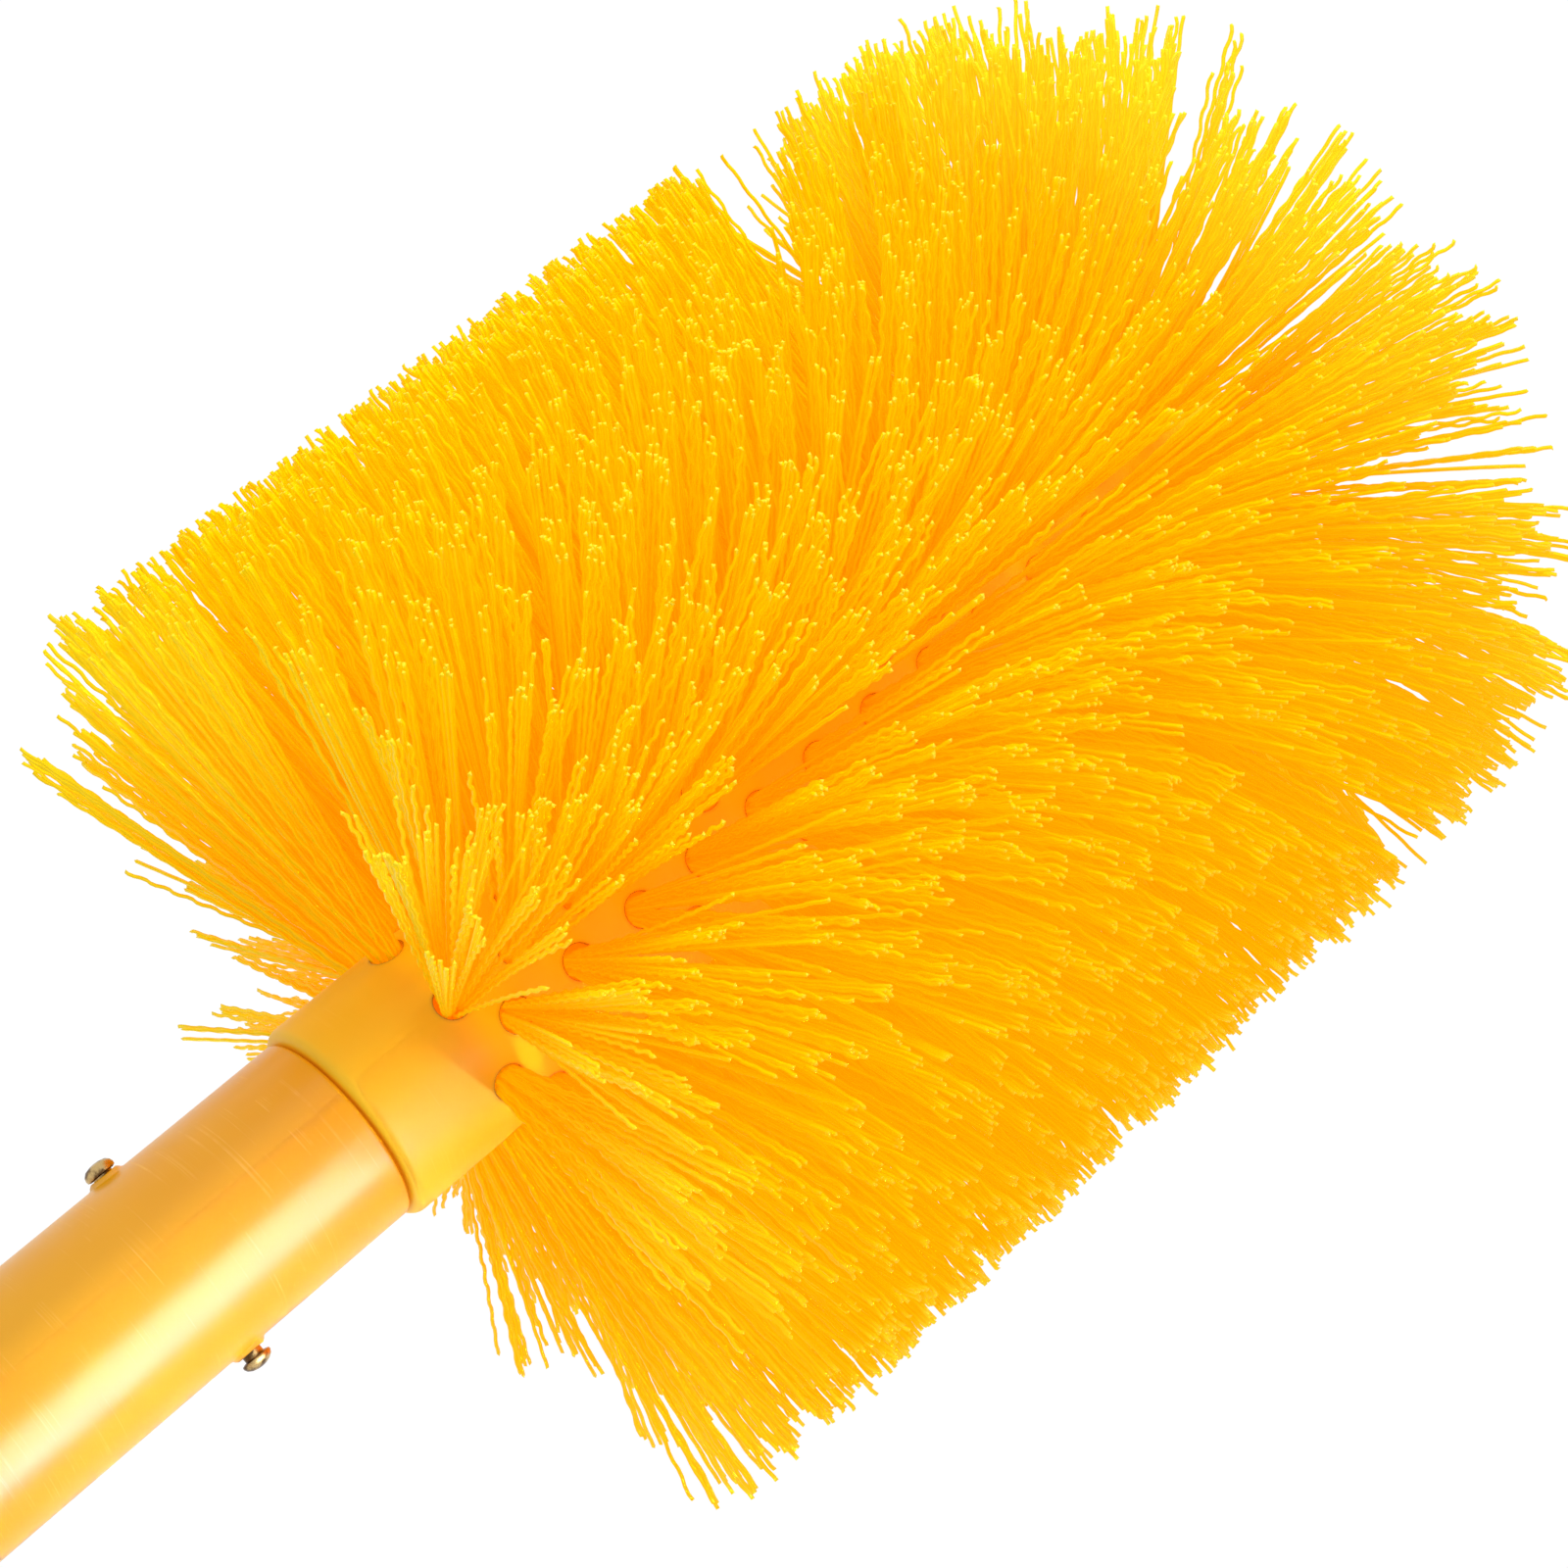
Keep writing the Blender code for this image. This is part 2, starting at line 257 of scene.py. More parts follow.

# Filament colours, deeper at the roots as painted shade and brighter to the tips as painted light,
# and a painted glow: an emission standing in for the little light carried inside the clear plastic
FILAMENT_ROOT = (1.0, 0.68, 0.0, 1.0)
FILAMENT_TIP = (1.0, 0.79, 0.0, 1.0)
# The cut ends are paler: a painted highlight standing in for bright dots of light at the tips.
CUT_END_ROOT = (1.0, 0.86, 0.04, 1.0)
CUT_END_TIP = (1.0, 0.88, 0.05, 1.0)
FILAMENT_SHINE = 0.08
ROOT_GLOW = (0.55, 0.231, 0.0, 1.0)
TIP_GLOW = (0.55, 0.264, 0.0, 1.0)
FILAMENT_GLOW_LEVEL = 0.45
# The side toward -X, painted more even with a deeper colour and a stronger glow, as if more light
# came through the bristles there, and the fringe, painted paler where light would show through the
# tips
SIDE_COLOUR = (1.0, 0.505, 0.0, 1.0)
SIDE_ROOT_GLOW = (1.0, 0.43, 0.0, 1.0)
SIDE_TIP_GLOW = (1.0, 0.50, 0.0, 1.0)
FRINGE_COLOUR = (1.0, 0.92, 0.02, 1.0)
FRINGE_GLOW = (0.75, 0.42, 0.02, 1.0)
# Where they fade, as two places and the levels there. TIPS and TRIM are out from the axis, SIDE
# and UPPER across X, FRONT along Y, NOSE and COLLAR along Z.
TIPS_FADE = (0.4 * TRIM_RADIUS, 0.98 * TRIM_RADIUS, 0.0, 0.9)
SIDE_FADE = (-0.045, 0.012, 0.85, 0.0)
UPPER_FADE = (-0.020, 0.020, 0.45, 1.0)
NOSE_FADE = (NOSE_Z - 0.003, NOSE_Z + 0.030, 1.0, 0.0)
COLLAR_FADE = (JOINT_Z - 0.0224, JOINT_Z - 0.0084, 0.0, 0.35)
TRIM_FADE = (0.955 * TRIM_RADIUS, TRIM_RADIUS, 0.0, 1.0)
FRONT_FADE = (-0.042, -0.018, 0.15, 1.0)
STRAND_TONE = 0.14

# Tube and block plastic
# The block's glow is a painted glow: an emission that brightens the plastic though it is no lamp.
BLOCK_GLOW = (1.0, 0.42, 0.0, 1.0)
BLOCK_GLOW_LEVEL = 0.10
NO_GLOW = (0.0, 0.0, 0.0, 1.0)
HEAD_FADE = 0.005
HEAD_ROUGHENING = 0.35
WORN_ROUGHENING = 0.18
GRAIN_ROUGHNESS = (-0.01, 0.03)
GRAIN_HEIGHT = 0.1
TURNING_HEIGHT = 0.3
PLASTIC_BUMP = 0.35
# Keeps the turning marks off the lattice of their noise, which would show as a line
LATTICE_OFFSET = 0.3

# Brass
BRASS_COLOUR = (0.58, 0.40, 0.17, 1.0)
TARNISH_COLOUR = (0.11, 0.055, 0.02, 1.0)

# Camera: the photograph's place, turn and lens
CAMERA_PLACE = (0.0, -0.396566, -0.484758)
CAMERA_TURN = (-55.2634, 44.2507, -153.7735)
CAMERA_LENS = 78.75
CAMERA_SENSOR = 36.0

# Light all round, and the floor
WHITE = (1.0, 1.0, 1.0, 1.0)
WORLD_LIGHT = 0.64
FLOOR_DROP = 0.30
FLOOR_HALF = 6.0
FLOOR_COLOUR = (0.86, 0.86, 0.86, 1.0)
FLOOR_GLOW = 1.14
FLOOR_FADE = 0.8


# Node helpers

def add_node(tree, kind, **settings):
    """Add a node to a tree and set its plain settings."""
    made = tree.nodes.new(kind)
    for name, value in settings.items():
        setattr(made, name, value)
    return made


def set_inputs(made, **values):
    """Set input sockets by name; an underscore stands for a space."""
    for name, value in values.items():
        made.inputs[name.replace("_", " ")].default_value = value


def feed(tree, target, value):
    """Link a socket to an input, or set the input to a plain value."""
    if isinstance(value, bpy.types.NodeSocket):
        tree.links.new(value, target)
    else:
        target.default_value = value


def math_node(tree, operation, first, second=None, third=None, clamp=False):
    """A Math node whose inputs are sockets or numbers; gives its output."""
    made = add_node(tree, "ShaderNodeMath", operation=operation, use_clamp=clamp)
    for slot_index, value in enumerate((first, second, third)):
        if value is not None:
            feed(tree, made.inputs[slot_index], value)
    return made.outputs[0]


def map_range(tree, value, low, high, to_low, to_high):
    """Map a socket's value from one span to another by a smooth step."""
    made = add_node(tree, "ShaderNodeMapRange", interpolation_type='SMOOTHSTEP')
    tree.links.new(value, made.inputs["Value"])
    set_inputs(made, From_Min=low, From_Max=high, To_Min=to_low, To_Max=to_high)
    return made.outputs["Result"]


def mix_colours(tree, factor, first, second):
    """Mix two colours, each a socket or a plain colour, by a factor socket."""
    made = add_node(tree, "ShaderNodeMix", data_type='RGBA')
    tree.links.new(factor, made.inputs[0])
    feed(tree, made.inputs[6], first)
    feed(tree, made.inputs[7], second)
    return made.outputs[2]


def noise(tree, place, scale, detail, roughness):
    """The value of a noise texture. The scale is a socket or a number, and place can be None."""
    made = add_node(tree, "ShaderNodeTexNoise")
    set_inputs(made, Detail=detail, Roughness=roughness)
    feed(tree, made.inputs["Scale"], scale)
    if place is not None:
        tree.links.new(place, made.inputs["Vector"])
    return made.outputs["Fac"]


def object_place(tree):
    """The place on the object, as a vector socket and as sockets by axis."""
    place = add_node(tree, "ShaderNodeTexCoord").outputs["Object"]
    split = add_node(tree, "ShaderNodeSeparateXYZ")
    tree.links.new(place, split.inputs[0])
    return place, split.outputs


def new_group(name, inputs, outputs):
    """Start a shader node group; gives the group, its input and its output node."""
    group = bpy.data.node_groups.new(name, 'ShaderNodeTree')
    for label, value in inputs:
        socket = group.interface.new_socket(label, in_out='INPUT', socket_type='NodeSocketFloat')
        socket.default_value = value
    for label in outputs:
        group.interface.new_socket(label, in_out='OUTPUT', socket_type='NodeSocketFloat')
    return group, add_node(group, "NodeGroupInput"), add_node(group, "NodeGroupOutput")


def place_group(tree, group, **values):
    """Put a group in a material with its own values; gives its outputs."""
    made = add_node(tree, "ShaderNodeGroup", node_tree=group)
    set_inputs(made, **values)
    return made.outputs


# Finishes

def turning_marks_group():
    """Fine marks round the axis, broken into short stretches, as a mask and a height."""
    group, start, end = new_group(
        "turning_marks",
        [("Fineness", 2600.0), ("Stretch", 60.0), ("Cover", 0.5)],
        ["Marks", "Height"])
    place, along = object_place(group)
    join = add_node(group, "ShaderNodeCombineXYZ")
    for axis, label in (("X", "Stretch"), ("Y", "Stretch"), ("Z", "Fineness")):
        scaled = math_node(group, 'MULTIPLY_ADD', along[axis], start.outputs[label], LATTICE_OFFSET)
        group.links.new(scaled, join.inputs[axis])
    lines = noise(group, join.outputs[0], scale=1.0, detail=2.0, roughness=0.6)
    patches = noise(group, place, scale=170.0, detail=3.0, roughness=0.6)
    threshold = math_node(group, 'SUBTRACT', 1.0, start.outputs["Cover"])
    covered = math_node(group, 'SUBTRACT', patches, threshold)
    covered = math_node(group, 'MULTIPLY', covered, 6.0, clamp=True)
    ridge = map_range(group, lines, 0.56, 0.70, 0.0, 1.0)
    group.links.new(math_node(group, 'MULTIPLY', ridge, covered), end.inputs["Marks"])
    group.links.new(lines, end.inputs["Height"])
    return group


def mottle_group():
    """Uneven moulded plastic: a wide and a fine cloudiness."""
    group, start, end = new_group("mottle", [("Scale", 60.0)], ["Cloud", "Grain"])
    place, _ = object_place(group)
    wide = start.outputs["Scale"]
    fine = math_node(group, 'MULTIPLY', wide, 30.0)
    cloud = noise(group, place, scale=wide, detail=4.0, roughness=0.55)
    grain = noise(group, place, scale=fine, detail=3.0, roughness=0.6)
    group.links.new(cloud, end.inputs["Cloud"])
    group.links.new(grain, end.inputs["Grain"])
    return group


def bristle_light_group():
    """Masks for painted shade and light: how near a place is to the tips, how far on the even side,
    and how far in the fringe.
    """
    group, _, end = new_group("bristle_light", [], ["Tips", "Side", "Fringe"])
    _, along = object_place(group)
    square = math_node(group, 'MULTIPLY', along["X"], along["X"])
    square = math_node(group, 'MULTIPLY_ADD', along["Y"], along["Y"], square)
    reach = math_node(group, 'SQRT', square)
    own = add_node(group, "ShaderNodeAttribute", attribute_name="strand_tone").outputs["Fac"]
    tips = map_range(group, reach, *TIPS_FADE)
    tips = math_node(group, 'MULTIPLY_ADD', own, STRAND_TONE, tips, clamp=True)
    side = map_range(group, along["X"], *SIDE_FADE)
    nose_end = map_range(group, along["Z"], *NOSE_FADE)
    upper_side = map_range(group, along["X"], *UPPER_FADE)
    nose_end = math_node(group, 'MULTIPLY', nose_end, upper_side)
    collar_end = map_range(group, along["Z"], *COLLAR_FADE)
    ends = math_node(group, 'MAXIMUM', nose_end, collar_end)
    ends = math_node(group, 'MULTIPLY', ends, tips)
    trim = map_range(group, reach, *TRIM_FADE)
    trim = math_node(group, 'MULTIPLY', trim, side)
    off_front = map_range(group, along["Y"], *FRONT_FADE)
    trim = math_node(group, 'MULTIPLY', trim, off_front)
    group.links.new(tips, end.inputs["Tips"])
    group.links.new(side, end.inputs["Side"])
    group.links.new(math_node(group, 'MAXIMUM', ends, trim), end.inputs["Fringe"])
    return group


def new_material(name, roughness, metallic=0.0):
    """A Principled material; gives the material, its tree and its shader."""
    material = bpy.data.materials.new(name)
    material.use_nodes = True
    shader = material.node_tree.nodes["Principled BSDF"]
    set_inputs(shader, Roughness=roughness, Metallic=metallic)
    return material, material.node_tree, shader


def add_bump(tree, shader, height, distance, strength):
    """Feed a height to the shader's normal."""
    bump = add_node(tree, "ShaderNodeBump")
    set_inputs(bump, Distance=distance, Strength=strength)
    tree.links.new(height, bump.inputs["Height"])
    tree.links.new(bump.outputs[0], shader.inputs["Normal"])


def inside_head(tree):
    """A mask that is 1 on the block between the bristles and 0 on its collar."""
    _, along = object_place(tree)
    head_top = JOINT_Z - COLLAR_LENGTH
    return map_range(tree, along["Z"], head_top - HEAD_FADE, head_top, 1.0, 0.0)


def darken_rims(tree, shader, colour, rim_dark_colour):
    """Darken the rims of holes in specks, and give the rest of the plastic a little painted glow."""
    rims = add_node(tree, "ShaderNodeAttribute", attribute_name="rim_darkening").outputs["Fac"]
    specks = noise(tree, None, scale=2600.0, detail=2.0, roughness=0.5)
    specks = map_range(tree, specks, 0.44, 0.56, 0.25, 1.0)
    darkened = math_node(tree, 'MULTIPLY', rims, specks)
    glow = mix_colours(tree, darkened, BLOCK_GLOW, NO_GLOW)
    tree.links.new(glow, shader.inputs["Emission Color"])
    set_inputs(shader, Emission_Strength=BLOCK_GLOW_LEVEL)
    return mix_colours(tree, darkened, colour, rim_dark_colour)


def plastic(name, body_colour, deep_colour, worn_colour, roughness, shine, groups, marks,
            rim_dark_colour=None, painted_head_light_colour=None):
    """Coloured plastic with cloudy colour, turning marks and an uneven gloss.

    A dark colour, where given, shows in specks on the rims of holes, and a head colour, where given,
    is painted light between the bristles, brighter as if the bristles lit the block there.
    """
    material, tree, shader = new_material(name, roughness)
    set_inputs(shader, Specular_IOR_Level=shine)
    mottle = place_group(tree, groups["mottle"], Scale=marks["cloud"])
    turning = place_group(tree, groups["turning"], Fineness=marks["fineness"],
                          Stretch=marks["stretch"], Cover=marks["cover"])
    cloud = map_range(tree, mottle["Cloud"], 0.30, 0.70, 0.0, 1.0)
    colour = mix_colours(tree, cloud, deep_colour, body_colour)
    worn = math_node(tree, 'MULTIPLY', turning["Marks"], marks["worn"])
    colour = mix_colours(tree, worn, colour, worn_colour)
    smoothest, roughest = (roughness + change for change in GRAIN_ROUGHNESS)
    gloss = map_range(tree, mottle["Grain"], 0.35, 0.65, smoothest, roughest)
    gloss = math_node(tree, 'MULTIPLY_ADD', turning["Marks"], WORN_ROUGHENING, gloss)
    if painted_head_light_colour is not None:
        # Painted light: the block between the bristles takes a brighter, yellower colour, as if the
        # bristles lit it.
        inside = inside_head(tree)
        colour = mix_colours(tree, inside, colour, painted_head_light_colour)
        gloss = math_node(tree, 'MULTIPLY_ADD', inside, HEAD_ROUGHENING, gloss)
    if rim_dark_colour is not None:
        colour = darken_rims(tree, shader, colour, rim_dark_colour)
    tree.links.new(colour, shader.inputs["Base Color"])
    tree.links.new(gloss, shader.inputs["Roughness"])
    grain = math_node(tree, 'MULTIPLY', mottle["Grain"], GRAIN_HEIGHT)
    height = math_node(tree, 'MULTIPLY_ADD', turning["Height"], TURNING_HEIGHT, grain)
    add_bump(tree, shader, height, marks["bump"], PLASTIC_BUMP)
    return material


def tube_plastic(groups):
    """The handle's orange plastic, pale where it is worn."""
    return plastic("tube_plastic", body_colour=(0.83, 0.398, 0.006, 1.0),
                   deep_colour=(0.81, 0.374, 0.005, 1.0), worn_colour=(1.0, 0.62, 0.14, 1.0),
                   roughness=0.30, shine=0.5, groups=groups,
                   marks={"cloud": 45.0, "fineness": 3200.0, "stretch": 20.0, "cover": 0.52,
                          "worn": 0.5, "bump": 0.00001})


def block_plastic(groups):
    """The block's yellow plastic, darker in specks round its holes, with a painted glow, and brighter
    between the bristles as painted light from them.
    """
    return plastic("block_plastic", body_colour=(0.87, 0.53, 0.016, 1.0),
                   deep_colour=(0.85, 0.50, 0.013, 1.0), worn_colour=(1.0, 0.70, 0.12, 1.0),
                   roughness=0.46, shine=0.32, groups=groups,
                   marks={"cloud": 90.0, "fineness": 4200.0, "stretch": 20.0, "cover": 0.46,
                          "worn": 0.35, "bump": 0.00003},
                   rim_dark_colour=(0.16, 0.03, 0.002, 1.0), painted_head_light_colour=(1.0, 0.74, 0.0, 1.0))


def brass_metal(groups):
    """Worn brass with dark tarnish in patches."""
    material, tree, shader = new_material("brass", roughness=0.26, metallic=1.0)
    mottle = place_group(tree, groups["mottle"], Scale=420.0)
    tarnish = map_range(tree, mottle["Cloud"], 0.42, 0.56, 0.0, 1.0)
    colour = mix_colours(tree, tarnish, BRASS_COLOUR, TARNISH_COLOUR)
    tree.links.new(colour, shader.inputs["Base Color"])
    gloss = map_range(tree, mottle["Grain"], 0.3, 0.7, 0.16, 0.40)
    tree.links.new(gloss, shader.inputs["Roughness"])
    add_bump(tree, shader, mottle["Grain"], distance=0.00004, strength=0.5)
    return material


def filament_plastic(name, root_colour, tip_colour, roughness, groups):
    """Filament: deeper at the block as painted shade and brighter to the tips as painted light, with
    a painted glow from its emission, each strand a little different.

    On the side toward -X the colour and glow are painted more even, as if more of the light came
    through the bristles there, and a paler fringe is painted where light would show through the tips.
    """
    material, tree, shader = new_material(name, roughness)
    light = place_group(tree, groups["bristle_light"])
    colour = mix_colours(tree, light["Tips"], root_colour, tip_colour)
    colour = mix_colours(tree, light["Side"], colour, SIDE_COLOUR)
    colour = mix_colours(tree, light["Fringe"], colour, FRINGE_COLOUR)
    tree.links.new(colour, shader.inputs["Base Color"])
    glow = mix_colours(tree, light["Tips"], ROOT_GLOW, TIP_GLOW)
    side_glow = mix_colours(tree, light["Tips"], SIDE_ROOT_GLOW, SIDE_TIP_GLOW)
    glow = mix_colours(tree, light["Side"], glow, side_glow)
    glow = mix_colours(tree, light["Fringe"], glow, FRINGE_GLOW)
    tree.links.new(glow, shader.inputs["Emission Color"])
    set_inputs(shader, Specular_IOR_Level=FILAMENT_SHINE, Emission_Strength=FILAMENT_GLOW_LEVEL)
    return material


# Mesh helpers

def mesh_of_faces(name, points, faces_by_size):
    """A mesh from point and face arrays; the faces come as {corner count: index array}."""
    mesh = bpy.data.meshes.new(name)
    mesh.vertices.add(len(points))
    mesh.vertices.foreach_set("co", np.asarray(points, np.float32).ravel())
    corners = np.concatenate([faces.ravel() for faces in faces_by_size.values()])
    sizes = np.concatenate([np.full(len(faces), size) for size, faces in faces_by_size.items()])
    mesh.loops.add(len(corners))
    mesh.loops.foreach_set("vertex_index", corners.astype(np.int32))
    mesh.polygons.add(len(sizes))
    mesh.polygons.foreach_set("loop_start", (np.cumsum(sizes) - sizes).astype(np.int32))
    mesh.update(calc_edges=True)
    return mesh


def add_point_values(mesh, name, values):
    """Give every point of a mesh a value that materials can read."""
    layer = mesh.attributes.new(name, 'FLOAT', 'POINT')
    layer.data.foreach_set("value", values.astype(np.float32))


def link_piece(mesh, slot_name, *nodes):
    """Put a mesh in the scene as a piece that rides on the brush and replaces solids."""
    piece = bpy.data.objects.new(mesh.name, mesh)
    bpy.context.scene.collection.objects.link(piece)
    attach(piece, "root")
    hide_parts(*nodes)


class Skin:
    """A surface put together from grids of points, welded where they meet."""

    def __init__(self):
        self.points = []
        self.darkening = []
        self.quads = []
        self.count = 0

    def add_grid(self, grid, closed, flip=False, darkening=None):
        """Add rows of points with quads between them, which close round if closed."""
        rows, width = grid.shape[:2]
        index = self.count + np.arange(rows * width).reshape(rows, width)
        after = np.roll(index, -1, axis=1)
        if not closed:
            index, after = index[:, :-1], after[:, :-1]
        quads = np.stack([index[:-1], after[:-1], after[1:], index[1:]], -1).reshape(-1, 4)
        self.quads.append(quads[:, ::-1] if flip else quads)
        self.points.append(grid.reshape(-1, 3))
        levels = np.zeros(rows) if darkening is None else np.asarray(darkening, float)
        self.darkening.append(np.repeat(levels, width))
        self.count += rows * width

    def add_turned(self, profile, angles, flip=False):
        """Add a surface turned about Z from (radius, height) pairs."""
        rows = np.stack([around(radius, height, angles) for radius, height in profile])
        self.add_grid(rows, True, flip)

    def finish(self, name, material, weld=0.000004):
        """Weld the grids into one closed mesh."""
        mesh = mesh_of_faces(name, np.concatenate(self.points), {4: np.concatenate(self.quads)})
        add_point_values(mesh, "rim_darkening", np.concatenate(self.darkening))
        bm = bmesh.new()
        bm.from_mesh(mesh)
        bmesh.ops.remove_doubles(bm, verts=bm.verts, dist=weld)
        bmesh.ops.dissolve_degenerate(bm, edges=bm.edges, dist=weld)
        open_edges = [edge for edge in bm.edges if edge.is_boundary]
        if open_edges:
            bmesh.ops.holes_fill(bm, edges=open_edges, sides=0)
        bm.to_mesh(mesh)
        bm.free()
        mesh.shade_smooth()
        mesh.set_sharp_from_angle(angle=SMOOTH_ANGLE)
        mesh.materials.append(material)
        return mesh


def around(radius, height, angles):
    """A ring of points at the given angles about Z."""
    return np.stack([radius * np.cos(angles), radius * np.sin(angles),
                     np.full(len(angles), height)], -1)


def rounded_edge(radius, height, edge, start_degrees):
    """Points of a quarter round that runs clockwise from the start angle."""
    turns = np.radians(start_degrees - 90.0 * np.arange(EDGE_STEPS + 1) / EDGE_STEPS)
    return [(radius + edge * math.cos(t), height + edge * math.sin(t)) for t in turns]


def patch_outline(half_angle, half_height, across, along):
    """Places round a patch as (angle, height) from its centre, counter-clockwise."""
    wide = np.linspace(-half_angle, half_angle, across + 1)[:-1]
    tall = np.linspace(-half_height, half_height, along + 1)[:-1]
    bottom = np.stack([wide, np.full(across, -half_height)], -1)
    right = np.stack([np.full(along, half_angle), tall], -1)
    return np.concatenate([bottom, right, -bottom, -right])


def holed_patch(skin, radius, centre_angle, centre_height, half, steps, rim, blends,
                flip=False, wall=()):
    """Add a patch of round skin with a hole square to the axis.

    rim has (hole radius, lift off the skin, darkening) from the outside in, wall has (hole radius,
    distance from the axis, darkening) down the hole, and blends are the places of the loops between
    the patch's outline, at 0, and the rim.
    """
    outline = patch_outline(half[0], half[1], *steps)
    turn = np.arctan2(outline[:, 1] / half[1], outline[:, 0] / half[0])
    out = np.array([math.cos(centre_angle), math.sin(centre_angle), 0.0])
    side = np.array([-math.sin(centre_angle), math.cos(centre_angle), 0.0])

    def hole_points(hole_radius, skin_radius, lift):
        """One loop of points round the hole, lifted off a round skin about the axis."""
        across = hole_radius * np.cos(turn)
        along = hole_radius * np.sin(turn)
        reach = np.sqrt(skin_radius ** 2 - across ** 2) + lift
        return (UP * centre_height + out * reach[:, None] + side * across[:, None]
                + UP * along[:, None])

    rows = []
    first = rim[0][0]
    for share in blends:
        angle = outline[:, 0] * (1 - share) + np.arcsin(first * np.cos(turn) / radius) * share
        height = outline[:, 1] * (1 - share) + first * np.sin(turn) * share
        rows.append(np.stack([radius * np.cos(centre_angle + angle),
                              radius * np.sin(centre_angle + angle),
                              centre_height + height], -1))
    rows += [hole_points(hole_radius, radius, lift) for hole_radius, lift, _ in rim]
    rows += [hole_points(hole_radius, depth, 0.0) for hole_radius, depth, _ in wall]
    darkening_levels = [0.0] * len(blends) + [darkening for _, _, darkening in (*rim, *wall)]
    skin.add_grid(np.stack(rows), True, flip, darkening_levels)


def plain_patch(skin, radius, centre_angle, half_angle, across, heights, flip=False):
    """Add a patch of round skin without a hole."""
    strip = centre_angle + np.linspace(-half_angle, half_angle, across + 1)
    skin.add_grid(np.stack([around(radius, height, strip) for height in heights]), False, flip)


# Drilled block

def tuft_angle(tuft, kind):
    """The angle about Z of a tuft in an even (0) or odd (1) ring."""
    return FACING + (4 * tuft + 1 - 2 * kind) * HALF_COLUMN


def root_place(index):
    """The place of a ring of tufts along the head."""
    return FIRST_RING + index * RING_PITCH


def ring_height(index):
    """The height of a ring of tufts."""
    return JOINT_Z - FIRST_RING - index * RING_PITCH


def drilled_block(material):
    """The turned block with its tang, rounded collar, tuft holes and nose."""
    skin = Skin()
    angles = (FACING + 2 * HALF_COLUMN
              + np.arange(COLUMNS * ACROSS_STEPS) * 2 * HALF_COLUMN / ACROSS_STEPS)
    top = JOINT_Z + TANG_LENGTH
    upper = [(HUB_RADIUS, top), (TANG_RADIUS - TANG_CHAMFER, top), (TANG_RADIUS, top - TANG_CHAMFER),
             (TANG_RADIUS, JOINT_Z)]
    upper += rounded_edge(BLOCK_RADIUS - COLLAR_EDGE, JOINT_Z - COLLAR_EDGE, COLLAR_EDGE, 90.0)
    upper += [(BLOCK_RADIUS, JOINT_Z - below) for below in COLLAR_ROWS]
    upper += [(BLOCK_RADIUS, ring_height(-1))]
    skin.add_turned(upper, angles, flip=True)
    lower = [(BLOCK_RADIUS, ring_height(RING_COUNT))]
    lower += rounded_edge(BLOCK_RADIUS - NOSE_EDGE, NOSE_Z + NOSE_EDGE, NOSE_EDGE, 0.0)
    lower += [(BLOCK_RADIUS * 0.5, NOSE_Z), (HUB_RADIUS, NOSE_Z)]
    skin.add_turned(lower, angles, flip=True)
    rim = [(TUFT_HOLE_RADIUS + past, lift, darkening) for past, lift, darkening in HOLE_RIM]
    wall = [(radius, BLOCK_RADIUS - depth, darkening) for radius, depth, darkening in HOLE_WALL]
    for index in range(RING_COUNT):
        for tuft in range(TUFTS_PER_RING):
            holed_patch(skin, BLOCK_RADIUS, tuft_angle(tuft, index % 2), ring_height(index),
                        (HALF_COLUMN, RING_PITCH), (ACROSS_STEPS, ALONG_STEPS), rim, (0.0, 0.5),
                        wall=wall)
    for kind, first, last in ((1, -1, 0), (0, RING_COUNT - 1, RING_COUNT)):
        heights = np.linspace(ring_height(first), ring_height(last), ALONG_STEPS // 2 + 1)
        for tuft in range(TUFTS_PER_RING):
            plain_patch(skin, BLOCK_RADIUS, tuft_angle(tuft, kind), HALF_COLUMN, ACROSS_STEPS,
                        heights, flip=True)
    link_piece(skin.finish("drilled_block", material), "block_plastic", "brush_block")


# Bristles

